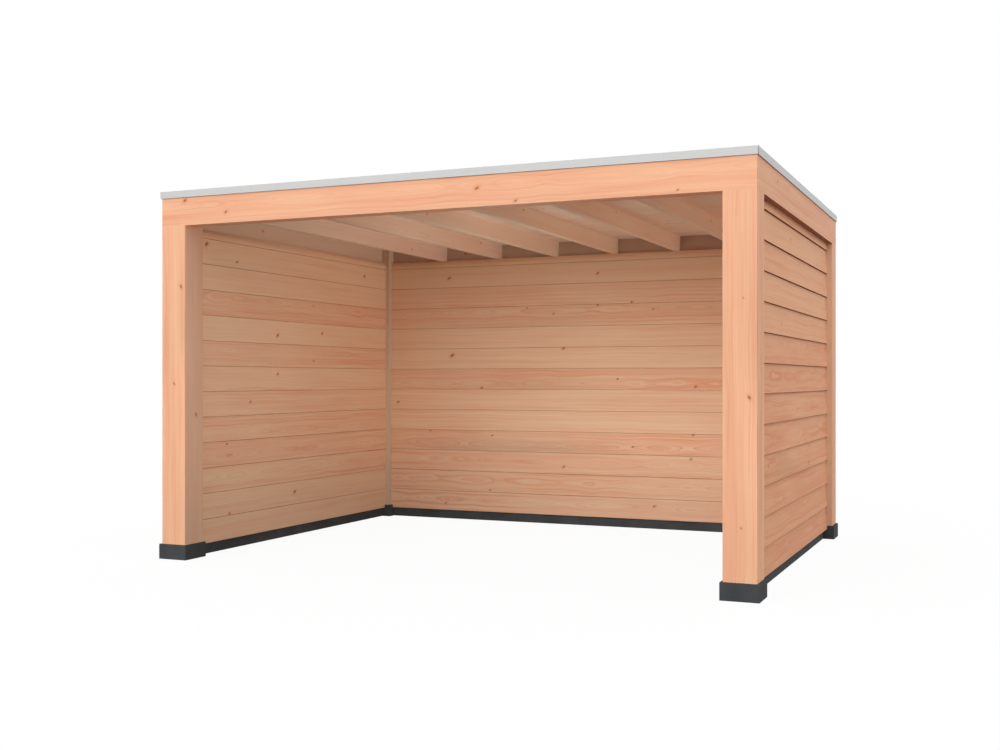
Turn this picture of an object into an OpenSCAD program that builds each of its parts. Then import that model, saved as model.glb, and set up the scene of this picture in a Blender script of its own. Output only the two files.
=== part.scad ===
// Garden canopy: a flat roof on four posts, closed on three sides, open at the front.
// The origin is on the ground at the middle of the plan. The open front faces -Y.

/* [Plan] */
// Width over the outer faces of the posts
width = 4000; // [3000:50:5500]
// Depth over the outer faces of the posts
depth = 3000; // [2400:50:4000]
// Clear height from the ground to the underside of the beams
headroom = 2236; // [2000:1:2600]

/* [Feet and posts] */
// Height of the feet above the ground
foot_h = 100; // [80:1:150]
// How far a foot reaches past its post on every side
foot_margin = 15; // [5:0.5:40]
// Bevel round the top of a foot and down its corners
foot_bevel = 4; // [1:0.5:10]
// Side of the square posts
post_w = 190; // [170:1:240]
// Bevel down the arrises of the posts and the corners of the beams
arris = 3; // [1:0.5:8]

/* [Ring beams] */
// Thickness of the beams, flush with the outer faces of the posts
beam_t = 115; // [80:1:130]
// Height of the beams
beam_h = 220; // [190:1:260]

/* [Rafters] */
// Thickness of a rafter
rafter_t = 45; // [38:1:75]
// Height of a rafter
rafter_h = 120; // [95:1:150]
// From the side face of the canopy in to the middle of the first rafter
rafter_inset = 700; // [500:5:900]
// Bevel along the lower edges of a rafter
rafter_bevel = 3; // [1:0.5:6]

/* [Walls] */
// From the outer face of the posts in to the lower edges of the weatherboards
wall_set_back = 36; // [20:1:45]
// Thickness of a weatherboard at its lower edge
butt_t = 28; // [22:1:32]
// Thickness of a weatherboard at its upper edge
tip_t = 16; // [10:1:20]
// Height from one board joint to the next
board_pitch = 176; // [120:1:195]
// Height of the cut course under the beams
top_course = 56; // [40:1:110]
// Lowest course that is still made as a board of its own
least_course = 60; // [40:1:80]
// Depth of the studs and plates, across the wall
stud_d = 70; // [45:1:80]
// Width of the studs and height of the plates, along the wall
stud_w = 45; // [38:1:60]
// Widest spacing of the studs
stud_pitch = 620; // [400:10:700]
// Thickness of the inner boards
inner_t = 18; // [16:1:28]
// Width of the groove at a joint of the inner boards
groove_w = 4; // [2:0.5:8]
// Depth of the groove at a joint of the inner boards
groove_d = 3; // [1:0.5:6]
// Height of the base beams that the walls stand on
plinth_h = 76; // [50:1:80]

/* [Roof] */
// Thickness of the roof boards
deck_t = 18; // [16:1:25]
// Thickness of the roof membrane
membrane_t = 1.5; // [1:0.1:3]
// Thickness of the metal of the edge trim
trim_t = 2; // [1.5:0.1:3]
// How far the trim stands out from the beams
trim_out = 7; // [5:0.5:15]
// How far the trim hangs down below the top of the beams
trim_drop = 33.5; // [20:0.5:60]
// Height of the upstanding nose of the trim over the membrane
trim_nose = 12.5; // [8:0.5:25]
// How far the fixing flange of the trim reaches in over the beams
trim_flange = 45; // [30:1:75]

/* [Hidden] */

// Corners of the plan: name, and which way they lie along X and Y
CORNERS = [
    ["front_left", -1, -1], ["front_right", 1, -1],
    ["rear_left", -1, 1], ["rear_right", 1, 1]
];
// Sides of the plan: name, turn from the front, distance of the outer face from the origin, length
SIDES = [
    ["front", 0, depth / 2, width], ["right", 90, width / 2, depth],
    ["rear", 180, depth / 2, width], ["left", 270, width / 2, depth]
];
// The sides that are closed by a wall
WALLS = [SIDES[1], SIDES[2], SIDES[3]];

rafter_count = 6;
rafter_step = (width - 2 * rafter_inset) / (rafter_count - 1);

deck_z = headroom + rafter_h;
beam_top = headroom + beam_h;
membrane_top = beam_top + membrane_t;

stud_face = wall_set_back + butt_t;
inner_face = stud_face + stud_d;
wall_face = inner_face + inner_t;
// Joints between the courses of boards, from the top one down
joints = [for (z = headroom - top_course; z > plinth_h + least_course; z = z - board_pitch) z];
course_tops = concat([headroom], joints);
course_butts = concat(joints, [plinth_h]);

softwood = [0.93, 0.71, 0.56];
board_wood = [0.83, 0.63, 0.50];
frame_wood = [0.80, 0.66, 0.52];
deck_wood = [0.86, 0.68, 0.54];
anthracite = [0.25, 0.26, 0.26];
membrane_black = [0.13, 0.13, 0.14];
trim_grey = [0.78, 0.79, 0.80];

// Clear length of a wall between its two posts
function wall_run(side) = side[3] - 2 * post_w;

// A corner's own frame: its outer corner at the origin, with the plan towards +X and +Y
module at_corner(c) {
    translate([c[1] * width / 2, c[2] * depth / 2, 0])
        mirror([c[1] > 0 ? 1 : 0, 0, 0])
            mirror([0, c[2] > 0 ? 1 : 0, 0])
                children();
}

// A side's own frame: X along the side from its middle, Y inwards from the outer face of the posts
module on_side(side) {
    rotate(side[1])
        translate([0, -side[2], 0])
            children();
}

// Sweeps a section, drawn as inward distance and height, along a side
module along(run) {
    rotate([90, 0, 90])
        linear_extrude(run, center = true)
            children();
}

// Square with bevelled corners, from a to b each way
module bevelled_square(a, b, bevel) {
    polygon([
        [a + bevel, a], [b - bevel, a], [b, a + bevel], [b, b - bevel],
        [b - bevel, b], [a + bevel, b], [a, b - bevel], [a, a + bevel]
    ]);
}

// Plan of one side of a mitred ring, with its outer edge on X and its outer corners bevelled
module mitred_plan(run, deep, bevel) {
    half = run / 2;
    polygon([
        [bevel - half, 0], [half - bevel, 0], [half - bevel / 2, bevel / 2],
        [half - deep, deep], [deep - half, deep], [bevel / 2 - half, bevel / 2]
    ]);
}

// Block under a post, with a bevelled upper edge
module foot(c) {
    side = post_w + 2 * foot_margin;
    color(anthracite)
        at_corner(c)
            translate([post_w / 2, post_w / 2, 0])
                intersection() {
                    linear_extrude(foot_h)
                        bevelled_square(-side / 2, side / 2, foot_bevel);
                    along(side) foot_section(side);
                    rotate(90) along(side) foot_section(side);
                }
}

module foot_section(side) {
    half = side / 2;
    polygon([
        [-half, 0], [half, 0], [half, foot_h - foot_bevel], [half - foot_bevel, foot_h],
        [foot_bevel - half, foot_h], [-half, foot_h - foot_bevel]
    ]);
}

// Square post, cut back at the top so that the beams lie on it and its tongue carries the deck
module post(c) {
    color(softwood)
        at_corner(c)
            difference() {
                translate([0, 0, foot_h])
                    linear_extrude(deck_z - foot_h)
                        bevelled_square(0, post_w, arris);
                translate([0, 0, headroom])
                    linear_extrude(rafter_h + arris)
                        difference() {
                            square(post_w);
                            translate([beam_t, beam_t]) square(post_w);
                        }
            }
}

// Beam along one side, mitred at both corners
module beam(side) {
    color(softwood)
        on_side(side)
            translate([0, 0, headroom])
                linear_extrude(beam_h)
                    mitred_plan(side[3], beam_t, arris);
}

// Rafter between the front and rear beams, lying on the inner edge of the rear wall
module rafter(i) {
    half = rafter_t / 2;
    color(softwood)
        translate([(i - (rafter_count + 1) / 2) * rafter_step, 0, headroom])
            rotate(90)
                along(depth - 2 * beam_t)
                    polygon([
                        [rafter_bevel - half, 0], [half - rafter_bevel, 0], [half, rafter_bevel],
                        [half, rafter_h], [-half, rafter_h], [-half, rafter_bevel]
                    ]);
}

// Base beam on the ground under a wall, from foot to foot
module plinth(side) {
    color(anthracite)
        on_side(side)
            along(wall_run(side) - 2 * foot_margin)
                translate([stud_face, 0]) square([stud_d, plinth_h]);
}

// Bottom plate on the base beam and top plate under the beam
module plates(side) {
    color(frame_wood)
        on_side(side) {
            along(wall_run(side) - 2 * foot_margin)
                translate([stud_face, plinth_h]) square([stud_d, stud_w]);
            along(wall_run(side))
                translate([stud_face, headroom - stud_w]) square([stud_d, stud_w]);
        }
}

// Studs between the plates, the outer two against the posts
module studs(side) {
    spread = wall_run(side) - stud_w;
    bays = ceil(spread / stud_pitch);
    color(frame_wood)
        on_side(side)
            for (i = [0:bays])
                translate([i * spread / bays - wall_run(side) / 2, stud_face, plinth_h + stud_w])
                    cube([stud_w, stud_d, headroom - plinth_h - 2 * stud_w]);
}

// Cuts a wall's lowest course round the feet at its two ends
module clear_of_feet(side) {
    difference() {
        children();
        for (end = [-1, 1])
            translate([end * wall_run(side) / 2, 0, 0])
                linear_extrude(foot_h)
                    translate([-foot_margin, 0]) square([2 * foot_margin, post_w]);
    }
}

// Outer cladding: tapered boards, each with its thick lower edge over the thin edge of the next
module weatherboards(side) {
    taper = (butt_t - tip_t) / board_pitch;
    color(board_wood)
        on_side(side)
            clear_of_feet(side)
                along(wall_run(side))
                    polygon(concat(
                        [[stud_face, plinth_h], [stud_face, headroom]],
                        [for (i = [0:len(joints)], end = [0, 1])
                            end == 0
                                ? [wall_set_back + taper * (course_tops[i] - course_butts[i]), course_tops[i]]
                                : [wall_set_back, course_butts[i]]]
                    ));
}

// Inner cladding: flush boards with a small groove at each joint
module inner_boards(side) {
    color(board_wood)
        on_side(side)
            clear_of_feet(side)
                along(wall_run(side))
                    polygon(concat(
                        [[inner_face, plinth_h], [inner_face, headroom], [wall_face, headroom]],
                        [for (z = joints, step = [1, 0, -1])
                            [wall_face - (step == 0 ? groove_d : 0), z + step * groove_w / 2]],
                        [[wall_face, plinth_h]]
                    ));
}

// Roof boards on the rafters and the tongues of the posts, inside the ring of beams
module roof_deck() {
    color(deck_wood)
        translate([beam_t - width / 2, beam_t - depth / 2, deck_z])
            cube([width - 2 * beam_t, depth - 2 * beam_t, deck_t]);
}

// Rectangle on the middle of the plan, a given distance in from the outer faces of the posts
module plan(inset) {
    square([width - 2 * inset, depth - 2 * inset], center = true);
}

// Membrane over the deck, up the inner faces of the beams and over their tops
module roof_membrane() {
    sheet_z = deck_z + deck_t;
    color(membrane_black)
        difference() {
            union() {
                translate([0, 0, sheet_z]) linear_extrude(membrane_top - sheet_z) plan(beam_t);
                translate([0, 0, beam_top]) linear_extrude(membrane_t) plan(0);
            }
            translate([0, 0, sheet_z + membrane_t])
                linear_extrude(membrane_top - sheet_z) plan(beam_t + membrane_t);
        }
}

// Edge trim: flange on the membrane, sloped back of the nose, and a face that hangs over the beam
module trim(side) {
    slope = trim_nose - trim_t;
    nose_back = 2 * slope;
    bend = trim_t / 2;
    reach = trim_out + trim_flange;
    top = trim_out + slope;
    low = -trim_drop - membrane_t;
    color(trim_grey)
        on_side(side)
            translate([0, -trim_out, membrane_top])
                intersection() {
                    along(side[3] + 2 * trim_out)
                        polygon([
                            [0, low], [0, trim_nose], [top, trim_nose],
                            [trim_out + nose_back, trim_t], [reach, trim_t], [reach, 0],
                            [trim_out + nose_back - bend, 0], [top - bend, trim_nose - trim_t],
                            [trim_t, trim_nose - trim_t], [trim_t, low]
                        ]);
                    translate([0, 0, low])
                        linear_extrude(trim_nose - low)
                            mitred_plan(side[3] + 2 * trim_out, reach, 0);
                }
}

for (c = CORNERS) {
    foot(c);
    post(c);
}
for (side = SIDES) {
    beam(side);
    trim(side);
}
for (side = WALLS) {
    plinth(side);
    plates(side);
    studs(side);
    weatherboards(side);
    inner_boards(side);
}
for (i = [1:rafter_count])
    rafter(i);
roof_deck();
roof_membrane();
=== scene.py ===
# Looks of a flat-roofed garden canopy, dressed piece by piece from the feet up to the roof's edge trim.
import math
import random

import bmesh
import bpy
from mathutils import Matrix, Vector


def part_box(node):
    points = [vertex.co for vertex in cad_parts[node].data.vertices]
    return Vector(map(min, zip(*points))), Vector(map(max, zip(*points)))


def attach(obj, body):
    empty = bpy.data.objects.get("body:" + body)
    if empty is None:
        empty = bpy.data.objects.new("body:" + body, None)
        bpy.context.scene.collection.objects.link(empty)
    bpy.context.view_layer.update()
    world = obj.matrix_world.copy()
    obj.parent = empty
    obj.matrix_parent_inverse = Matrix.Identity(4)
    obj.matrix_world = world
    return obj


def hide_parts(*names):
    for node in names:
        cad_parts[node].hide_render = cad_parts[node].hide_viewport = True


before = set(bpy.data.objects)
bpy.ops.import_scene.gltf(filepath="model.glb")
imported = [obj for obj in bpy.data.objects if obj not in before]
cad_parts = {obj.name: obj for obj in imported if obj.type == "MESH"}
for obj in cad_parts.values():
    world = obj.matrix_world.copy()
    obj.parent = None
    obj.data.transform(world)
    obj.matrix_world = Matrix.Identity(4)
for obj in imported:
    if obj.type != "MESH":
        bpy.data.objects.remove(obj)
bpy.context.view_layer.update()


# Feet: four moulded anthracite blocks, a little wider than the posts that stand on them. The mould rounds
# their upright corners and upper edges, and leaves a fine matt grain and slightly clouded colour.
CORNERS = ("front_left", "front_right", "rear_left", "rear_right")
FOOT_CORNER_ROUND = 0.004
FOOT_TOP_ROUND = 0.003
ANTHRACITE_DARK = (0.045, 0.048, 0.050, 1)
ANTHRACITE_LIGHT = (0.068, 0.072, 0.074, 1)
UP = Vector((0, 0, 1))
TOUCHING = 1e-4
ALIGNED = 0.9
CRISP_ANGLE = math.radians(50)


def start_block(name, low, high):
    """Adds a cube with these corners, selected alone and open in edit mode, to be shaped further."""
    bpy.ops.object.select_all(action="DESELECT")
    bpy.ops.mesh.primitive_cube_add(size=1, location=(low + high) / 2)
    piece = bpy.context.object
    piece.name = name
    piece.data.name = name
    piece.scale = high - low
    bpy.ops.object.transform_apply(location=True, rotation=True, scale=True)
    bpy.ops.object.mode_set(mode="EDIT")
    return piece


def pick(kind, wanted):
    """In edit mode, selects the vertices, edges or faces whose place and direction pass the test."""
    bpy.ops.mesh.select_mode(type=kind)
    bpy.ops.mesh.select_all(action="DESELECT")
    mesh = bmesh.from_edit_mesh(bpy.context.object.data)
    if kind == "VERT":
        for vertex in mesh.verts:
            vertex.select_set(wanted(vertex.co))
    elif kind == "EDGE":
        for edge in mesh.edges:
            ends = [vertex.co for vertex in edge.verts]
            edge.select_set(wanted((ends[0] + ends[1]) / 2, (ends[1] - ends[0]).normalized()))
    else:
        for face in mesh.faces:
            face.select_set(wanted(face.calc_center_median(), face.normal))
    mesh.select_flush_mode()
    bmesh.update_edit_mesh(bpy.context.object.data)


def near(a, b):
    return abs(a - b) < TOUCHING


def runs_along(way, axis):
    return abs(way.dot(axis)) > ALIGNED


def looks(normal, way):
    return normal.dot(way) > ALIGNED


def shade_crisply(piece):
    """Shades the rounded edges of the active piece smooth and keeps its flat faces flat."""
    bpy.ops.object.shade_smooth_by_angle(angle=CRISP_ANGLE)
    flatten = piece.modifiers.new("flat faces", "WEIGHTED_NORMAL")
    flatten.keep_sharp = True
    bpy.ops.object.modifier_apply(modifier=flatten.name)


def close_edit(piece):
    bpy.ops.object.mode_set(mode="OBJECT")
    shade_crisply(piece)


def put_on(piece, material, slot, *nodes):
    """Gives a finished piece its material, hides the CAD nodes it stands for and puts it on its body."""
    piece.data.materials.clear()
    piece.data.materials.append(material)
    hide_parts(*nodes)
    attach(piece, "root")


class Field:
    """An output of a material's nodes, so that what varies over a surface is written as arithmetic."""

    def __init__(self, tree, socket=None):
        self.tree = tree
        self.socket = socket

    def node(self, kind, settings, inputs, output=0):
        """Adds a node, sets it up, feeds its sockets with values or fields, and returns one output."""
        made = self.tree.nodes.new(kind)
        for name, value in settings.items():
            setattr(made, name, value)
        for name, value in inputs.items():
            if isinstance(value, Field):
                self.tree.links.new(value.socket, made.inputs[name])
            else:
                made.inputs[name].default_value = value
        return Field(self.tree, made.outputs[output])

    def stored(self, name, output="Fac"):
        """What a piece stores on its mesh under this name."""
        return self.node("ShaderNodeAttribute", {"attribute_name": name}, {}, output)

    def place(self):
        """Where a point lies, from the origin that all pieces share."""
        return self.node("ShaderNodeTexCoord", {}, {}, "Object")

    def math(self, operation, *values):
        return self.node("ShaderNodeMath", {"operation": operation}, dict(enumerate(values)))

    def __add__(self, other):
        return self.math("ADD", self, other)

    def __sub__(self, other):
        return self.math("SUBTRACT", self, other)

    def __rsub__(self, other):
        return self.math("SUBTRACT", other, self)

    def __mul__(self, other):
        return self.math("MULTIPLY", self, other)

    def __truediv__(self, other):
        return self.math("DIVIDE", self, other)

    def __pow__(self, other):
        return self.math("POWER", self, other)

    __radd__ = __add__
    __rmul__ = __mul__

    def step(self, low, high):
        """Rises smoothly from 0 to 1 as this field goes from low to high."""
        settings = {"interpolation_type": "SMOOTHSTEP"}
        return self.node("ShaderNodeMapRange", settings, {0: self, 1: low, 2: high, 3: 0.0, 4: 1.0})

    def mix(self, first, second):
        """Goes from the first colour to the second as this field goes from 0 to 1."""
        return self.node("ShaderNodeMix", {"data_type": "RGBA"}, {0: self, 6: first, 7: second}, 2)

    def scaled(self, factors):
        """This vector with each component multiplied by its own factor."""
        return self.node("ShaderNodeVectorMath", {"operation": "MULTIPLY"}, {0: self, 1: factors})

    def noise(self, scale, detail=2.0):
        """Cloudy noise from 0 to 1 over this vector."""
        return self.node("ShaderNodeTexNoise", {}, {"Vector": self, "Scale": scale, "Detail": detail})

    def parts(self):
        """The three components of this vector."""
        split = self.node("ShaderNodeSeparateXYZ", {}, {0: self}).socket.node
        return [Field(self.tree, socket) for socket in split.outputs]

    def to(self, socket):
        self.tree.links.new(self.socket, socket)

    def emboss(self, socket, strength, distance):
        """Feeds a normal with this field as the height of a relief."""
        inputs = {"Strength": strength, "Distance": distance, "Height": self}
        self.node("ShaderNodeBump", {}, inputs).to(socket)


def start_finish(name):
    """A new material, a field to write its maths from, and the sockets of its surface."""
    material = bpy.data.materials.new(name)
    material.use_nodes = True
    surface = material.node_tree.nodes["Principled BSDF"].inputs
    return material, Field(material.node_tree), surface


def anthracite(name, grain_stretch):
    """Matt anthracite with a fine moulded grain, drawn out along a piece by the given stretch."""
    material, maths, surface = start_finish(name)
    place = maths.place()
    cloud = place.noise(5.0, 3.0)
    grain = place.scaled(grain_stretch).noise(260.0, 3.0)
    shade = (0.6 * cloud + 0.4 * grain).step(0.3, 0.7)
    shade.mix(ANTHRACITE_DARK, ANTHRACITE_LIGHT).to(surface["Base Color"])
    (0.75 + 0.2 * grain).to(surface["Roughness"])
    grain.emboss(surface["Normal"], 0.25, 0.0008)
    surface["Specular IOR Level"].default_value = 0.12
    return material


foot_finish = anthracite("anthracite_moulding", (1, 1, 1))
foot_blocks = []
for corner in CORNERS:
    low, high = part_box("foot_" + corner)
    block = start_block("foot_block_" + corner, low, high)
    pick("EDGE", lambda middle, way: runs_along(way, UP))
    bpy.ops.mesh.bevel(offset=FOOT_CORNER_ROUND, segments=3, affect="EDGES")
    pick("EDGE", lambda middle, way: near(middle.z, high.z))
    bpy.ops.mesh.bevel(offset=FOOT_TOP_ROUND, segments=3, affect="EDGES")
    close_edit(block)
    put_on(block, foot_finish, "anthracite_base", "foot_" + corner)
    foot_blocks.append(block)


# Base beams: extruded anthracite sections laid on the ground from foot to foot under each closed wall.
# Their long edges are rounded, and the drawn surface shows faint streaks along its length.
BASE_BEAM_ROUND = 0.005
STREAK_STRETCH = 0.04
RIGHT = Vector((1, 0, 0))
BACK = Vector((0, 1, 0))
OUTWARD = {"right": RIGHT, "rear": BACK, "left": -RIGHT}
ALONG = {"right": BACK, "rear": RIGHT, "left": BACK}

for wall, along in ALONG.items():
    low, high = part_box("plinth_" + wall)
    base_beam = start_block("base_beam_" + wall, low, high)
    pick("EDGE", lambda middle, way: runs_along(way, along))
    bpy.ops.mesh.bevel(offset=BASE_BEAM_ROUND, segments=3, affect="EDGES")
    close_edit(base_beam)
    stretch = [STREAK_STRETCH if part > 0.5 else 1 for part in along]
    section_finish = anthracite("anthracite_section_" + wall, stretch)
    put_on(base_beam, section_finish, "anthracite_base", "plinth_" + wall)


# Posts: square softwood posts, planed, with eased arrises. At the top they are cut back on their two outer
# faces, so that the beams lie on the shoulders and an inner tongue runs on up to the roof boards.
POST_ARRIS = 0.003
TIMBER_PALE = (0.84, 0.480, 0.282, 1)
TIMBER_WARM = (0.79, 0.370, 0.222, 1)
POST_TONE = 0.32
POST_HEART = (0.05, 0.13)
LATEWOOD_TINT = (0.93, 0.68, 0.60)
KNOT_STAIN = (0.70, 0.27, 0.11, 1)
KNOT_CORE = (0.30, 0.09, 0.028, 1)
# Paler, greyer colour painted on faces inside the canopy, for the light that falls there.
INSIDE_LIGHT_TINT = (0.72, 0.57, 0.43, 1)
# Dark brown for the sawn faces inside a joint, and for painted shade on undersides and in recesses.
JOINT_SHADE = (0.22, 0.05, 0.006, 1)
# Painted shade near the ground: its dark colour, and the height over which it fades out.
PAINTED_GROUND_SHADE = (0.10, 0.075, 0.06, 1)
GROUND_SHADE_REACH = 0.9
# How much painted inside-light tint the posts' inward faces take, and those deep inside the rear posts.
INWARD_LIGHT_TINT = 0.4
DEEP_LIGHT_TINT = 0.7
LOG_REACH = 60
FAR_KNOT = ("face", 9, 9, 0.01)
POST_KNOTS = {
    "front_left": [("face", 0.60, -0.062, 0.010), ("face", -0.05, -0.005, 0.007),
                   ("side", -0.26, -0.02, 0.009)],
    "front_right": [("face", -0.12, -0.052, 0.010), ("face", 0.42, -0.02, 0.0035),
                    ("face", -0.83, -0.007, 0.0045)],
    "rear_left": [("side", 0.55, 0.03, 0.009)],
    "rear_right": [("face", 0.3, 0.03, 0.008)],
}
rng = random.Random(11)


def softwood(name, pale, warm, ring, figure, ground_shade, gloss):
    """Planed softwood, from its pale and warm colours, the width of its growth rings, the strength of their
    figure, the share of painted shade it takes near the ground, and its gloss. It reads where each point lay
    in its log, the board's own tone, and the nearest knot, round which the rings bend. Faces marked as
    inside the canopy take a paler, greyer painted tint for the light there, without figure. Faces marked as
    joint and
    shade are dark and rough: the sawn faces inside a joint, and painted shade on undersides and in recesses."""
    material, maths, surface = start_finish(name)
    log = maths.stored("log", "Vector")
    tone = maths.stored("tone")
    knot = maths.stored("knot", "Vector")
    painted_inside_light = maths.stored("painted_inside_light")
    joint = maths.stored("joint")
    above_ground = maths.place().parts()[2]

    length, depth, height = log.parts()
    knot_along, knot_across, knot_size = knot.parts()
    ragged = log.scaled((30, 70, 70)).noise(1.0) - 0.5
    leaning = knot_along - 0.6 * knot_across
    knot_way = ((0.75 * leaning) ** 2 + (0.85 * knot_across) ** 2) ** 0.5 / knot_size + 0.6 * ragged
    knot_core = 1 - knot_way.step(0.35, 1.0)
    knot_halo = 1 - knot_way.step(0.6, 3.0)

    bow = log.scaled((2.0, 0, 0)).noise(1.0, 2.0) - 0.5
    sway = log.scaled((0.8, 0, 0)).noise(3.0, 1.0) - 0.5
    waves = log.scaled((5, 20, 20)).noise(1.0, 3.0) - 0.5
    from_heart = ((depth + 0.08 * bow) ** 2 + (height + 0.03 * sway) ** 2) ** 0.5 + 0.010 * waves
    rings = (from_heart + 0.6 * knot_size * knot_halo) / ring
    within = rings.math("FRACT", rings)
    number = rings.math("FLOOR", rings)
    strength = maths.node("ShaderNodeTexWhiteNoise", {"noise_dimensions": "1D"}, {"W": number + 37 * tone})
    latewood = within ** 2 * (1 - within.step(0.86, 1.0)) * (0.15 + 0.85 * strength ** 2)

    by_year = maths.node("ShaderNodeCombineXYZ", {}, {0: 26 * from_heart, 1: 0.3 * length, 2: 40 * tone})
    years = by_year.noise(1.0, 2.0) - 0.5
    flame_way = {0: 68 * from_heart, 1: 0.7 * length, 2: 40 * tone + 9}
    by_flame = maths.node("ShaderNodeCombineXYZ", {}, flame_way)
    flames = by_flame.noise(1.0, 3.0).step(0.50, 0.68)
    cloud = log.scaled((1.6, 9, 9)).noise(1.0, 2.0) - 0.5
    streak = log.scaled((1.1, 30, 45)).noise(1.0, 2.0) - 0.5
    fibre = log.scaled((2.2, 190, 190)).noise(1.0, 3.0) - 0.5
    warmth = (tone + 1.4 * years + 1.1 * cloud + 1.1 * streak + 0.6 * fibre).step(-0.2, 1.2)
    # Faces inside the canopy take a painted paler, greyer tint for the light there, and show no figure.
    ground = painted_inside_light.mix(warmth.mix(pale, warm), INSIDE_LIGHT_TINT)
    late_red = [channel * factor for channel, factor in zip(warm[:3], LATEWOOD_TINT)] + [1]
    shown = figure * (0.3 + 0.7 * tone.step(0.15, 0.5)) * (1 - painted_inside_light.step(0.0, 0.5))
    figured = shown * (1.1 * latewood + 0.4 * flames)
    grained = (figured + 0.12 * fibre).mix(ground, late_red)
    stained = (0.5 * knot_halo ** 2).mix(grained, KNOT_STAIN)
    knotted = (0.85 * knot_core).mix(stained, KNOT_CORE)
    # Painted shade near the ground, darker towards the bottom and stronger on faces inside the canopy.
    near_ground = (ground_shade + 0.3 * painted_inside_light) * (1 - above_ground.step(0.0, GROUND_SHADE_REACH))
    darkened = near_ground.mix(knotted, PAINTED_GROUND_SHADE)
    # Faces marked as joint and shade are painted dark brown: sawn joint faces, and painted shade.
    joint.mix(darkened, JOINT_SHADE).to(surface["Base Color"])

    (0.66 - 0.12 * latewood + 0.08 * fibre + 0.3 * joint).to(surface["Roughness"])
    (fibre + latewood).emboss(surface["Normal"], 0.4, 0.0006)
    surface["Specular IOR Level"].default_value = gloss
    return material


def select_alone(piece):
    """Selects a piece, and nothing else, as the active one."""
    bpy.ops.object.select_all(action="DESELECT")
    piece.select_set(True)
    bpy.context.view_layer.objects.active = piece


def saw_from_log(piece, grain, face, heart, tone, knots=()):
    """Stores on a sawn piece where each point lay in its log, its tone, and its place from the nearest
    knot. The heart's place is given from the piece's middle, towards the face and across it. Knots are (way
    through, along, across, size), and a piece with several is parted half way between them so that each part
    has one."""
    mesh = piece.data
    corners = [Vector(corner) for corner in piece.bound_box]
    middle = sum(corners, Vector()) / 8
    across = face.cross(grain)
    knots = sorted(knots, key=lambda knot: knot[1])
    parting = [(a[1] + b[1]) / 2 for a, b in zip(knots, knots[1:])]
    select_alone(piece)
    if parting:
        bpy.ops.object.mode_set(mode="EDIT")
        for along in parting:
            bpy.ops.mesh.select_all(action="SELECT")
            bpy.ops.mesh.bisect(plane_co=middle + along * grain, plane_no=grain)
        bpy.ops.object.mode_set(mode="OBJECT")

    start = rng.uniform(0, LOG_REACH)
    mesh.attributes.new("log", "FLOAT_VECTOR", "POINT")
    mesh.attributes.new("tone", "FLOAT", "POINT")
    mesh.attributes.new("knot", "FLOAT_VECTOR", "CORNER")
    in_log = []
    for vertex in mesh.vertices:
        place = vertex.co - middle
        in_log += [place.dot(grain) + start, heart[0] - place.dot(face), place.dot(across) - heart[1]]
    mesh.attributes["log"].data.foreach_set("vector", in_log)
    mesh.attributes["tone"].data.foreach_set("value", [tone] * len(mesh.vertices))
    from_knot = [0.0] * (3 * len(mesh.loops))
    for polygon in mesh.polygons:
        along = (polygon.center - middle).dot(grain)
        part = sum(along > edge for edge in parting)
        through, knot_along, knot_across, size = knots[part] if knots else FAR_KNOT
        sideways = across if through == "face" else face
        for loop in polygon.loop_indices:
            place = mesh.vertices[mesh.loops[loop].vertex_index].co - middle
            from_knot[3 * loop:3 * loop + 3] = (
                place.dot(grain) - knot_along, place.dot(sideways) - knot_across, size)
    mesh.attributes["knot"].data.foreach_set("vector", from_knot)


def mark_faces(piece, name, amount):
    """Stores an amount on each face, worked out from its middle and its direction."""
    mark = piece.data.attributes.new(name, "FLOAT", "FACE")
    mark.data.foreach_set("value", [amount(face.center, face.normal) for face in piece.data.polygons])


timber_finish = softwood(
    "timber_softwood", TIMBER_PALE, TIMBER_WARM, ring=0.008, figure=1.0, ground_shade=0.06, gloss=0.3)
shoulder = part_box("beam_front")[0].z
for corner in CORNERS:
    low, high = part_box("post_" + corner)
    inner_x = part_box("beam_left")[1].x if "left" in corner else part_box("beam_right")[0].x
    inner_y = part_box("beam_front")[1].y if "front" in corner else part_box("beam_rear")[0].y
    inward_x = -RIGHT if inner_x > 0 else RIGHT
    inward_y = -BACK if inner_y > 0 else BACK

    def deep_in(middle):
        away = middle - Vector((inner_x, inner_y, 0))
        return away.dot(inward_x) > 0 and away.dot(inward_y) > 0

    def on_arris(middle):
        at_side = near(middle.x, low.x) or near(middle.x, high.x)
        return at_side and (near(middle.y, low.y) or near(middle.y, high.y))

    # Painted inside-light tint on the post's inward faces, stronger deep inside the rear posts.
    def inside_light_amount(middle, normal):
        looks_in = looks(normal, inward_x) or looks(normal, inward_y)
        return looks_in * (DEEP_LIGHT_TINT if deep_in(middle) and "rear" in corner else INWARD_LIGHT_TINT)

    post = start_block("post_timber_" + corner, low, Vector((high.x, high.y, shoulder)))
    for cut_at, way in ((inner_x, RIGHT), (inner_y, BACK)):
        bpy.ops.mesh.select_all(action="SELECT")
        bpy.ops.mesh.bisect(plane_co=cut_at * way, plane_no=way)
    pick("FACE", lambda middle, normal: looks(normal, UP) and deep_in(middle))
    bpy.ops.mesh.extrude_region_move(TRANSFORM_OT_translate={"value": (0, 0, high.z - shoulder)})
    pick("EDGE", lambda middle, way: runs_along(way, UP) and on_arris(middle))
    bpy.ops.mesh.bevel(offset=POST_ARRIS, segments=3, affect="EDGES")
    close_edit(post)
    saw_from_log(post, UP, -BACK, POST_HEART, POST_TONE, POST_KNOTS[corner])
    mark_faces(post, "painted_inside_light", inside_light_amount)
    put_on(post, timber_finish, "timber", "post_" + corner)


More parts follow.
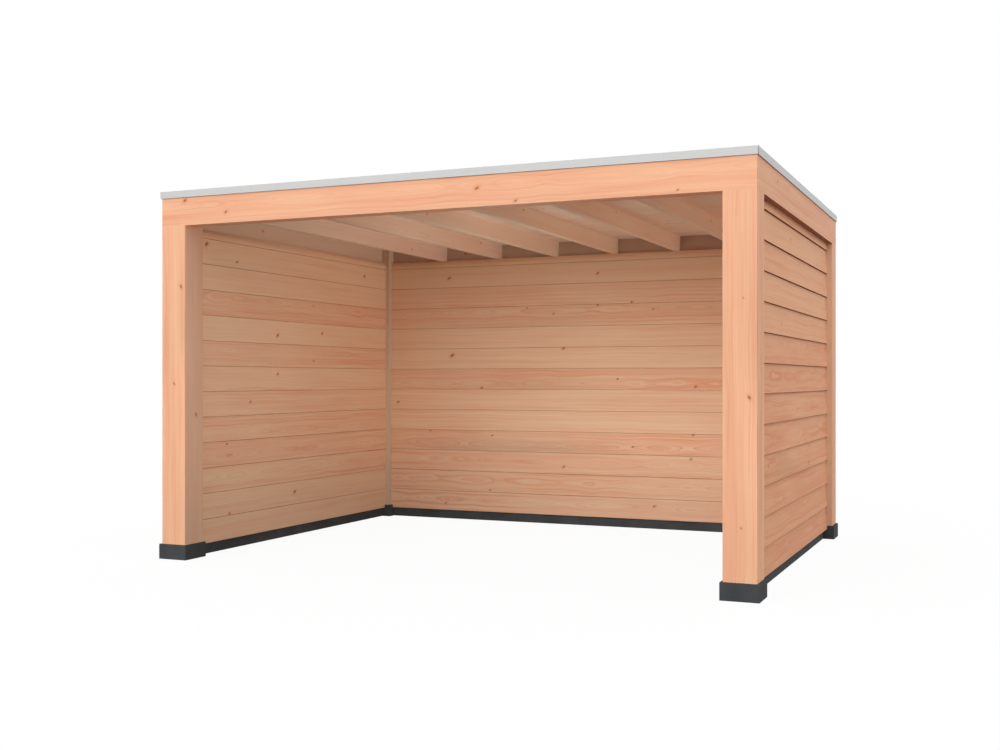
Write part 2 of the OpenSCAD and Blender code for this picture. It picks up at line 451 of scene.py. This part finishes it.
# Wall frames: sawn softwood studs between a bottom and a top plate, closed in by the boards on both faces.
# Only the edge of the top plate is open to view, on the ledge of the wall under the roof.
SAWN_DARK = (0.60, 0.40, 0.26, 1)
SAWN_LIGHT = (0.70, 0.48, 0.31, 1)
frame_finish, maths, surface = start_finish("sawn_framing")
place = maths.place()
saw_marks = place.scaled((60, 60, 18)).noise(1.0, 3.0)
saw_marks.step(0.3, 0.75).mix(SAWN_DARK, SAWN_LIGHT).to(surface["Base Color"])
(0.7 + 0.15 * saw_marks).to(surface["Roughness"])
saw_marks.emboss(surface["Normal"], 0.4, 0.001)
for wall in ALONG:
    for node in ("studs_" + wall, "plates_" + wall):
        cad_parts[node].data.materials.clear()
        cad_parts[node].data.materials.append(frame_finish)


# Weatherboards: tapered softwood boards outside, thin edge up, each lapped by the thick lower edge of the
# one above, whose rounded arris throws the shadow line, deepened by painted shade on its underside. The
# courses are cut to fit at the top and round the feet.
BOARD_PITCH = 0.176
TOP_COURSE = 0.056
BOARD_TAPER = 0.012
BUTT_ROUND = 0.003
WEATHERBOARD_PALE = (0.82, 0.447, 0.252, 1)
WEATHERBOARD_WARM = (0.76, 0.342, 0.190, 1)
WEATHERBOARD_TONES = (0.2, 0.0, 0.3, 0.1, 0.3, 0.5, 0.5, 0.5, 0.6, 0.4, 0.6, 0.4, 0.8)
WEATHERBOARD_KNOTS = {
    "right": [(-0.24, 2.10, 0.009), (0.31, 0.80, 0.007), (-0.96, 0.70, 0.008), (0.46, 0.635, 0.010),
              (0.53, 0.745, 0.007), (-0.55, 1.55, 0.007), (0.75, 1.28, 0.007)],
    "rear": [],
    "left": [],
}
PLAIN_TONE = 0.4
KNOT_FREE_END = 0.1
FRONT_TURN = 0.8
# Share of painted shade on the tongue's front face, down in the joint.
TONGUE_SHADE = 0.3


def copy_of(piece, name, shift):
    """A copy of a piece with a mesh of its own, moved by the shift."""
    select_alone(piece)
    bpy.ops.object.duplicate(linked=False)
    twin = bpy.context.object
    twin.name = name
    twin.data.name = name
    twin.location = shift
    bpy.ops.object.transform_apply(location=True, rotation=True, scale=True)
    return twin


def saw_off(piece, at, way):
    """Cuts off what lies beyond a plane, in the direction given, and closes the cut."""
    select_alone(piece)
    bpy.ops.object.mode_set(mode="EDIT")
    bpy.ops.mesh.select_all(action="SELECT")
    bpy.ops.mesh.bisect(plane_co=at, plane_no=way, use_fill=True, clear_outer=True)
    bpy.ops.object.mode_set(mode="OBJECT")


def joined(pieces, name):
    """The pieces as one object."""
    bpy.ops.object.select_all(action="DESELECT")
    for piece in pieces:
        piece.select_set(True)
    bpy.context.view_layer.objects.active = pieces[0]
    bpy.ops.object.join()
    pieces[0].name = name
    pieces[0].data.name = name
    return pieces[0]


def course_of_boards(first, low, high, along, face, tones, knots):
    """Copies the first board down a wall, a pitch apart, cut off at the wall's top and bottom and round the
    feet. Each board is sawn from a log of its own, pale and plain or warm and figured by its tone. Where no
    knots are given for the wall, each board gets up to two at random."""
    boards = []
    butt = high.z - TOP_COURSE
    while butt > low.z - BOARD_PITCH / 2:
        board = copy_of(first, first.name + "_course", Vector((0, 0, butt - low.z)))
        if butt + BOARD_PITCH > high.z:
            saw_off(board, high, UP)
        if butt < low.z:
            saw_off(board, low, -UP)
            for block in foot_blocks:
                notch = board.modifiers.new("foot notch", "BOOLEAN")
                notch.operation = "DIFFERENCE"
                notch.object = block
                bpy.ops.object.modifier_apply(modifier=notch.name)
            shade_crisply(board)
        tone = tones[len(boards)]
        heart = (rng.uniform(0.03, 0.06), rng.uniform(-0.05, 0.05))
        if tone < PLAIN_TONE:
            heart = (rng.uniform(0.05, 0.09), rng.choice((-1, 1)) * rng.uniform(0.1, 0.2))
        bottom, top = max(butt, low.z), min(butt + BOARD_PITCH, high.z)
        own = [("face", way, face.cross(along).z * (height - (bottom + top) / 2), size)
               for way, height, size in knots if bottom < height < top]
        if not knots:
            reach = (high - low).dot(along) / 2 - KNOT_FREE_END
            own = [("face", rng.uniform(-reach, reach), rng.uniform(-0.06, 0.06), rng.uniform(0.005, 0.010))
                   for _ in range(rng.choice((0, 1, 1, 2)))]
        saw_from_log(board, along, face, heart, tone, own)
        # Faces turned from the front take the dark joint colour, as painted shade under the butts and in the
        # joints; the tongue's front takes a little.
        mark_faces(board, "joint", lambda middle, normal: max(
            float(normal.dot(face) < FRONT_TURN), TONGUE_SHADE * (middle.z > butt + BOARD_PITCH)))
        boards.append(board)
        butt -= BOARD_PITCH
    bpy.data.objects.remove(first)
    return boards


weatherboard_finish = softwood(
    "weatherboard_softwood", WEATHERBOARD_PALE, WEATHERBOARD_WARM,
    ring=0.010, figure=1.1, ground_shade=0.06, gloss=0.15)
for wall, along in ALONG.items():
    face = OUTWARD[wall]
    low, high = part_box("weatherboards_" + wall)
    outer = max(low.dot(face), high.dot(face))
    board_top = low.z + BOARD_PITCH
    board = start_block("weatherboard_" + wall, low, Vector((high.x, high.y, board_top)))
    pick("VERT", lambda place: near(place.dot(face), outer) and near(place.z, board_top))
    bpy.ops.transform.translate(value=-BOARD_TAPER * face)
    pick("EDGE", lambda middle, way: near(middle.dot(face), outer) and near(middle.z, low.z))
    bpy.ops.mesh.bevel(offset=BUTT_ROUND, segments=3, affect="EDGES")
    close_edit(board)
    boards = course_of_boards(board, low, high, along, face, WEATHERBOARD_TONES, WEATHERBOARD_KNOTS[wall])
    cladding = joined(boards, "weatherboard_courses_" + wall)
    put_on(cladding, weatherboard_finish, "boards", "weatherboards_" + wall)


# Inner boards: softwood boards, tongued and grooved, that line the walls inside at the same courses as the
# outer ones. Their eased edges stand a little apart, and each joint shows as a fine dark line, from the gap
# and from painted shade on the joint faces and the tongue.
LINING_GAP = 0.0022
LINING_EASE = 0.0012
LINING_TONGUE = 0.005
LINING_PALE = (0.91, 0.64, 0.42, 1)
LINING_WARM = (0.87, 0.505, 0.325, 1)
LINING_TONES = {
    "left": (0.1, 0.0, 0.1, 0.5, 0.0, 0.4, 0.2, 0.3, 0.4, 0.6, 0.4, 0.2, 0.2),
    "rear": (0.0, 0.0, 0.3, 0.4, 0.2, 0.2, 0.5, 0.3, 0.3, 0.7, 0.6, 0.5, 0.6),
    "right": (0.4, 0.6, 0.3, 0.5, 0.4, 0.7, 0.3, 0.5, 0.6, 0.4, 0.5, 0.3, 0.5),
}
LINING_KNOTS = {
    "left": [(-1.22, 2.14, 0.014), (-0.87, 2.047, 0.008), (0.94, 2.09, 0.010), (-0.36, 1.54, 0.010),
             (0.265, 1.575, 0.008), (0.14, 1.355, 0.006), (-0.36, 1.246, 0.008), (-0.71, 1.043, 0.008),
             (-0.99, 0.748, 0.006), (-0.13, 0.335, 0.011), (-0.96, 0.252, 0.008)],
    "rear": [(-1.24, 2.084, 0.010), (0.12, 2.08, 0.009), (0.12, 1.818, 0.006), (0.41, 1.836, 0.007),
             (0.59, 1.776, 0.005), (-0.27, 1.756, 0.006), (-0.51, 1.81, 0.005), (-0.18, 1.466, 0.010),
             (-1.21, 1.414, 0.013), (0.29, 1.21, 0.006), (0.94, 1.15, 0.008), (-0.93, 1.134, 0.008),
             (-1.74, 1.008, 0.008), (-1.42, 0.76, 0.007), (0.92, 0.764, 0.007), (-0.83, 0.728, 0.006),
             (0.42, 0.658, 0.007), (0.90, 0.57, 0.007), (-0.18, 0.478, 0.009), (-0.85, 0.26, 0.006),
             (0.60, 0.182, 0.008), (-1.27, 0.134, 0.007)],
    "right": [],
}


def tongue_and_groove(low, high, face, way, reach, gap):
    """Cuts a groove along the near edge of the open board and draws a tongue from its far edge, both in the
    middle third of its thickness."""
    for part in (1 / 3, 2 / 3):
        bpy.ops.mesh.select_all(action="SELECT")
        bpy.ops.mesh.bisect(plane_co=low.lerp(high, part), plane_no=face)
    centre = low.lerp(high, 0.5).dot(face)
    half_third = abs((high - low).dot(face)) / 6
    for edge, length in ((1, reach), (-1, reach + gap)):
        pick("FACE", lambda middle, normal: looks(normal, edge * way)
             and abs(middle.dot(face) - centre) < half_third)
        bpy.ops.mesh.extrude_region_move(TRANSFORM_OT_translate={"value": length * way})


lining_finish = softwood(
    "lining_softwood", LINING_PALE, LINING_WARM, ring=0.009, figure=1.3, ground_shade=0.18, gloss=0.1)
for wall, along in ALONG.items():
    face = -OUTWARD[wall]
    low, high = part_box("inner_boards_" + wall)
    outer = max(low.dot(face), high.dot(face))
    board_top = low.z + BOARD_PITCH - LINING_GAP
    board = start_block("lining_board_" + wall, low, Vector((high.x, high.y, board_top)))
    tongue_and_groove(low, high, face, UP, LINING_TONGUE, LINING_GAP)
    pick("EDGE", lambda middle, way: near(middle.dot(face), outer) and runs_along(way, along))
    bpy.ops.mesh.bevel(offset=LINING_EASE, segments=2, affect="EDGES")
    close_edit(board)
    boards = course_of_boards(board, low, high, along, face, LINING_TONES[wall], LINING_KNOTS[wall])
    lining = joined(boards, "lining_courses_" + wall)
    put_on(lining, lining_finish, "boards", "inner_boards_" + wall)


# Ring beams: four deep planed beams on the shoulders of the posts, flush with their outer faces and mitred
# at the corners, where the arris is eased like that of the posts. Painted shade darkens the undersides of
# the side and rear beams and the rear beam's inner face, and all four take the painted inside-light tint
# inside.
SIDES = {"front": -BACK, **OUTWARD}
# Painted shade on each beam's underside and inner face.
BEAM_SHADE = {"front": (0.0, 0.0), "left": (0.8, 0.0), "rear": (0.8, 0.3), "right": (0.8, 0.0)}
BEAM_LIGHT_TINT = 0.8
BEAM_TONE = 0.40
BEAM_HEART = (0.09, 0.02)
BEAM_KNOTS = {
    "front": [("face", -1.81, 0.055, 0.013), ("face", -1.48, -0.04, 0.009), ("face", 0.335, 0.0, 0.011),
              ("face", 0.585, -0.09, 0.008), ("face", 1.56, -0.09, 0.006)],
    "right": [("face", -0.9, 0.02, 0.008)],
    "rear": [("face", -0.7, 0.03, 0.010), ("face", 1.1, -0.05, 0.008)],
    "left": [("face", 0.5, -0.03, 0.009)],
}
for side, face in SIDES.items():
    along = UP.cross(face)
    low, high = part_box("beam_" + side)
    post_low, post_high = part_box("post_front_left")[0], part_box("post_rear_right")[1]
    for axis in (0, 1):
        if abs(along[axis]) > 0.5:
            low[axis], high[axis] = post_low[axis], post_high[axis]
    outer = max(low.dot(face), high.dot(face))
    thick = abs((high - low).dot(face))
    beam = start_block("ring_beam_" + side, low, high)
    for end in (-1, 1):
        pick("VERT", lambda place: place.dot(along) * end > 0 and not near(place.dot(face), outer))
        bpy.ops.transform.translate(value=-end * thick * along)
    pick("EDGE", lambda middle, way: near(middle.dot(face), outer) and runs_along(way, UP))
    bpy.ops.mesh.bevel(offset=POST_ARRIS / 2, segments=2, affect="EDGES")
    close_edit(beam)
    saw_from_log(beam, along, face, BEAM_HEART, BEAM_TONE, BEAM_KNOTS[side])
    below, inside = BEAM_SHADE[side]
    # The inner faces of the beams take the painted inside-light tint.
    mark_faces(beam, "painted_inside_light", lambda middle, normal: BEAM_LIGHT_TINT * looks(normal, -face))
    mark_faces(beam, "joint",
               lambda middle, normal: below * looks(normal, -UP) + inside * looks(normal, -face))
    put_on(beam, timber_finish, "timber", "beam_" + side)


# Rafters: planed joists set on edge from the front beam to the rear one, where they lie on the ledge of the
# wall. Their lower edges are eased.
RAFTER_EASE = 0.0035
RAFTER_PALE = (0.88, 0.715, 0.55, 1)
RAFTER_WARM = (0.865, 0.635, 0.475, 1)
RAFTER_SHADE = 0.1
RAFTER_COUNT = 6
rafter_finish = softwood(
    "rafter_softwood", RAFTER_PALE, RAFTER_WARM, ring=0.010, figure=0.6, ground_shade=0.0, gloss=0.1)
for number in range(1, RAFTER_COUNT + 1):
    node = f"rafter_{number}"
    low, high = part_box(node)
    rafter = start_block(f"rafter_timber_{number}", low, high)
    pick("EDGE", lambda middle, way: near(middle.z, low.z) and runs_along(way, BACK))
    bpy.ops.mesh.bevel(offset=RAFTER_EASE, segments=3, affect="EDGES")
    close_edit(rafter)
    heart = (rng.uniform(0.03, 0.06), rng.uniform(-0.09, 0.09))
    knot = ("face", rng.uniform(-1.2, 1.2), rng.uniform(-0.04, 0.04), rng.uniform(0.004, 0.007))
    saw_from_log(rafter, BACK, RIGHT, heart, rng.uniform(0.2, 0.6), [knot])
    # Painted shade on the rafters' undersides.
    mark_faces(rafter, "joint", lambda middle, normal: RAFTER_SHADE * looks(normal, -UP))
    put_on(rafter, rafter_finish, "timber", node)


# Roof boards: softwood boards laid across the rafters from side to side, tongued and grooved, with eased
# edges that leave a fine line at each joint seen from below.
ROOF_BOARD_WIDTH = 0.12
ROOF_BOARD_GAP = 0.0015
ROOF_BOARD_EASE = 0.0012
ROOF_BOARD_TONGUE = 0.005
ROOF_BOARD_PALE = (0.85, 0.66, 0.50, 1)
ROOF_BOARD_WARM = (0.83, 0.59, 0.44, 1)
roof_board_finish = softwood(
    "roof_board_softwood", ROOF_BOARD_PALE, ROOF_BOARD_WARM, ring=0.010, figure=0.5, ground_shade=0.0, gloss=0.1)
low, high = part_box("roof_deck")
count = round((high.y - low.y) / ROOF_BOARD_WIDTH)
width = (high.y - low.y) / count
first = start_block("roof_board", low, Vector((high.x, low.y + width - ROOF_BOARD_GAP, high.z)))
tongue_and_groove(low, high, UP, BACK, ROOF_BOARD_TONGUE, ROOF_BOARD_GAP)
pick("EDGE", lambda middle, way: near(middle.z, low.z) and runs_along(way, RIGHT))
bpy.ops.mesh.bevel(offset=ROOF_BOARD_EASE, segments=2, affect="EDGES")
close_edit(first)
roof_boards = []
for number in range(count):
    board = copy_of(first, f"roof_board_{number}", Vector((0, number * width, 0)))
    heart = (rng.uniform(0.03, 0.08), rng.choice((-1, 1)) * rng.uniform(0.0, 0.15))
    knots = [("face", rng.uniform(-1.8, 1.8), rng.uniform(-0.04, 0.04), rng.uniform(0.004, 0.008))
             for _ in range(rng.choice((0, 1, 2)))]
    if number == count - 1:
        saw_off(board, high, BACK)
    saw_from_log(board, RIGHT, -UP, heart, rng.uniform(0.1, 0.7), knots)
    roof_boards.append(board)
bpy.data.objects.remove(first)
deck = joined(roof_boards, "roof_boards")
put_on(deck, roof_board_finish, "roof_boards", "roof_deck")


# Roof membrane: one black rubber sheet, glued down on the roof boards, turned up the beams and over their
# tops. It bends in soft curves at the upstand and lies a little uneven, with chalky dust on it.
SHEET_THICK = 0.0015
UPSTAND_ROUND = 0.012
UPSTAND_ANGLE = math.radians(40)
SHEET_CUTS = 60
SHEET_UNEVEN = 0.0012
RUBBER_BLACK = (0.016, 0.016, 0.018, 1)
RUBBER_DUSTY = (0.042, 0.042, 0.043, 1)
low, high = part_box("roof_membrane")
deck_low, deck_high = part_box("roof_deck")
bpy.ops.object.select_all(action="DESELECT")
bpy.ops.mesh.primitive_plane_add(size=1, location=(0, 0, high.z - SHEET_THICK))
membrane = bpy.context.object
membrane.name = "rubber_membrane"
membrane.data.name = "rubber_membrane"
membrane.scale = (high.x - low.x, high.y - low.y, 1)
bpy.ops.object.transform_apply(location=True, rotation=True, scale=True)
bpy.ops.object.mode_set(mode="EDIT")
bpy.ops.mesh.select_all(action="SELECT")
bpy.ops.mesh.inset(thickness=deck_low.x - low.x)
bpy.ops.mesh.extrude_region_move(TRANSFORM_OT_translate={"value": (0, 0, low.z - high.z + SHEET_THICK)})
floor_z = low.z
pick("EDGE", lambda middle, way: near(middle.z, floor_z))
bpy.ops.mesh.bevel(offset=UPSTAND_ROUND, segments=4, affect="EDGES")
pick("FACE", lambda middle, normal: near(middle.z, floor_z) and runs_along(normal, UP))
bpy.ops.mesh.subdivide(number_cuts=SHEET_CUTS)
pick("VERT", lambda place: near(place.z, floor_z)
     and abs(place.x) < deck_high.x - 2 * UPSTAND_ROUND and abs(place.y) < deck_high.y - 2 * UPSTAND_ROUND)
mesh = bmesh.from_edit_mesh(membrane.data)
for vertex in mesh.verts:
    if vertex.select:
        x, y = vertex.co.x, vertex.co.y
        swell = math.sin(2.3 * x + 1.1) * math.sin(3.1 * y) + math.sin(9 * x * y)
        vertex.co.z += SHEET_UNEVEN * (0.5 + 0.25 * swell)
bmesh.update_edit_mesh(membrane.data)
bpy.ops.object.mode_set(mode="OBJECT")
bpy.ops.object.shade_smooth_by_angle(angle=UPSTAND_ANGLE)
thickness = membrane.modifiers.new("thickness", "SOLIDIFY")
thickness.thickness = SHEET_THICK
thickness.offset = 1
bpy.ops.object.modifier_apply(modifier=thickness.name)

membrane_finish, maths, surface = start_finish("rubber_sheet")
place = maths.place()
dust = place.noise(1.4, 5.0)
grain = place.noise(300.0, 2.0)
dusty = (0.75 * dust + 0.25 * grain).step(0.35, 0.75)
dusty.mix(RUBBER_BLACK, RUBBER_DUSTY).to(surface["Base Color"])
(0.5 + 0.3 * dust).to(surface["Roughness"])
grain.emboss(surface["Normal"], 0.2, 0.0005)
put_on(membrane, membrane_finish, "membrane", "roof_membrane")


# Edge trim: aluminium sheet with a satin grey coat, bent to a roof edge, in four mitred lengths. Its flange
# lies on the membrane, its back slopes up to a nose that keeps the water in, and its face hangs clear of
# the beams.
TRIM_SHEET = 0.002
TRIM_NOSE_ROUND = 0.0022
TRIM_BEND_ROUND = 0.0015
TRIM_GREY = (0.46, 0.46, 0.455, 1)
TRIM_PALE_GREY = (0.52, 0.52, 0.51, 1)
trim_finish, maths, surface = start_finish("satin_aluminium")
place = maths.place()
brushed = place.scaled((3, 3, 400)).noise(1.0, 3.0)
smudge = place.noise(2.5, 4.0)
shade = (0.5 * brushed + 0.5 * smudge).step(0.25, 0.75)
shade.mix(TRIM_GREY, TRIM_PALE_GREY).to(surface["Base Color"])
(0.28 + 0.12 * smudge).to(surface["Roughness"])
brushed.emboss(surface["Normal"], 0.1, 0.0003)
for side, face in SIDES.items():
    along = UP.cross(face)
    low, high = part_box("trim_" + side)
    outer = max(low.dot(face), high.dot(face))
    flange_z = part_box("roof_membrane")[1].z + TRIM_SHEET
    slope = high.z - flange_z
    reach = abs((high - low).dot(face))
    trim = start_block("edge_trim_" + side, low, high)
    pick("FACE", lambda middle, normal: not looks(normal, face))
    bpy.ops.mesh.delete(type="FACE")
    pick("EDGE", lambda middle, way: near(middle.z, high.z))
    bpy.ops.mesh.extrude_region_move(TRANSFORM_OT_translate={"value": -slope * face - slope * UP})
    bpy.ops.mesh.extrude_region_move(TRANSFORM_OT_translate={"value": (slope - reach) * face})
    for row in (slope, reach):
        for end in (-1, 1):
            pick("VERT", lambda place: near(outer - place.dot(face), row) and place.dot(along) * end > 0)
            bpy.ops.transform.translate(value=-end * row * along)
    pick("EDGE", lambda middle, way: near(middle.z, high.z))
    bpy.ops.mesh.bevel(offset=TRIM_NOSE_ROUND, segments=4, affect="EDGES")
    pick("EDGE", lambda middle, way: near(outer - middle.dot(face), slope) and near(middle.z, flange_z))
    bpy.ops.mesh.bevel(offset=TRIM_BEND_ROUND, segments=3, affect="EDGES")
    bpy.ops.mesh.select_all(action="SELECT")
    bpy.ops.mesh.normals_make_consistent(inside=False)
    bpy.ops.object.mode_set(mode="OBJECT")
    sheet = trim.modifiers.new("sheet", "SOLIDIFY")
    sheet.thickness = TRIM_SHEET
    sheet.offset = -1
    bpy.ops.object.modifier_apply(modifier=sheet.name)
    shade_crisply(trim)
    put_on(trim, trim_finish, "edge_trim", "trim_" + side)


# Floor: one wide pale sheet that the canopy stands on. The camera sees it nearly white with a faint soft
# shadow, and it throws only a little light back up.
FLOOR_SIZE = 80
FLOOR_SEEN = (0.80, 0.80, 0.80, 1)
FLOOR_BOUNCE = (0.02, 0.02, 0.02, 1)
FLOOR_WHITENESS = 0.95
bpy.ops.object.select_all(action="DESELECT")
bpy.ops.mesh.primitive_plane_add(size=FLOOR_SIZE, location=(0, 0, 0))
floor = bpy.context.object
floor.name = "studio_floor"
floor_finish = bpy.data.materials.new("studio_floor")
floor_finish.use_nodes = True
tree = floor_finish.node_tree
tree.nodes.remove(tree.nodes["Principled BSDF"])


def seen_directly(maths):
    """1 where a ray comes from the camera, a mirror-like surface or through something clear, otherwise 0."""
    camera_ray = maths.node("ShaderNodeLightPath", {}, {}, "Is Camera Ray")
    sockets = camera_ray.socket.node.outputs
    glossy_ray = Field(maths.tree, sockets["Is Glossy Ray"])
    clear_ray = Field(maths.tree, sockets["Is Transmission Ray"])
    return maths.math("MINIMUM", camera_ray + glossy_ray + clear_ray, 1.0)


maths = Field(tree)
seen = seen_directly(maths)
paper = maths.node("ShaderNodeBsdfDiffuse", {}, {"Color": seen.mix(FLOOR_BOUNCE, FLOOR_SEEN)})
white = maths.node("ShaderNodeEmission", {}, {"Color": (1, 1, 1, 1), "Strength": 1.0})
shown = maths.node("ShaderNodeMixShader", {}, {0: FLOOR_WHITENESS * seen, 1: paper, 2: white})
shown.to(tree.nodes["Material Output"].inputs["Surface"])
floor.data.materials.append(floor_finish)


# Light: an even pale sky, one broad soft sun low at the front left, and a frosted globe under the roof.
# Two weak fill suns without shadows, from low on the right and from below the front, open up the shade.
SKY_STRENGTH = 1.1
GLOBE_PLACE = (0.0, -0.3, 1.25)
GLOBE_POWER = 14
GLOBE_RADIUS = 0.5
world = bpy.data.worlds.new("pale_sky")
bpy.context.scene.world = world
world.use_nodes = True
tree = world.node_tree
tree.nodes.remove(tree.nodes["Background"])
maths = Field(tree)
sky = maths.node("ShaderNodeBackground", {}, {"Color": (1, 1, 1, 1), "Strength": SKY_STRENGTH})
white = maths.node("ShaderNodeBackground", {}, {"Color": (1, 1, 1, 1), "Strength": 1.0})
shown = maths.node("ShaderNodeMixShader", {}, {0: seen_directly(maths), 1: sky, 2: white})
shown.to(tree.nodes["World Output"].inputs["Surface"])


def soft_sun(name, from_front, height, strength, spread, shadows=True):
    """A sun at these degrees from straight ahead, to the right, and above the ground."""
    turn, lift = math.radians(from_front), math.radians(height)
    way = Vector((math.sin(turn) * math.cos(lift), -math.cos(turn) * math.cos(lift), math.sin(lift)))
    bpy.ops.object.light_add(type="SUN", rotation=way.to_track_quat("Z", "Y").to_euler())
    sun = bpy.context.object
    sun.name = name
    sun.data.energy = strength
    sun.data.angle = math.radians(spread)
    sun.data.use_shadow = shadows


soft_sun("key_sun", from_front=-15, height=14, strength=1.97, spread=55)
soft_sun("right_fill", from_front=90, height=-25, strength=0.5, spread=45, shadows=False)
soft_sun("under_fill", from_front=0, height=-60, strength=0.3, spread=45, shadows=False)
bpy.ops.object.light_add(type="POINT", location=GLOBE_PLACE)
globe = bpy.context.object
globe.name = "shade_globe"
globe.data.energy = GLOBE_POWER
globe.data.shadow_soft_size = GLOBE_RADIUS
globe.visible_camera = False


# Camera: at the photograph's place, right of the open front and below head height. It is held level, with
# a small rise of the lens.
PHOTO_LENS = 42.791
PHOTO_RISE = 0.00505
PHOTO_SENSOR = 36
PHOTO_PLACE = (3.2935, -7.9331, 1.2025)
PHOTO_TURN = math.radians(23.583)
bpy.ops.object.camera_add(location=PHOTO_PLACE, rotation=(math.radians(90), 0, PHOTO_TURN))
camera = bpy.context.object
camera.data.lens = PHOTO_LENS
camera.data.sensor_width = PHOTO_SENSOR
camera.data.shift_y = PHOTO_RISE
bpy.context.scene.camera = camera

bpy.context.scene.view_settings.view_transform = "Standard"
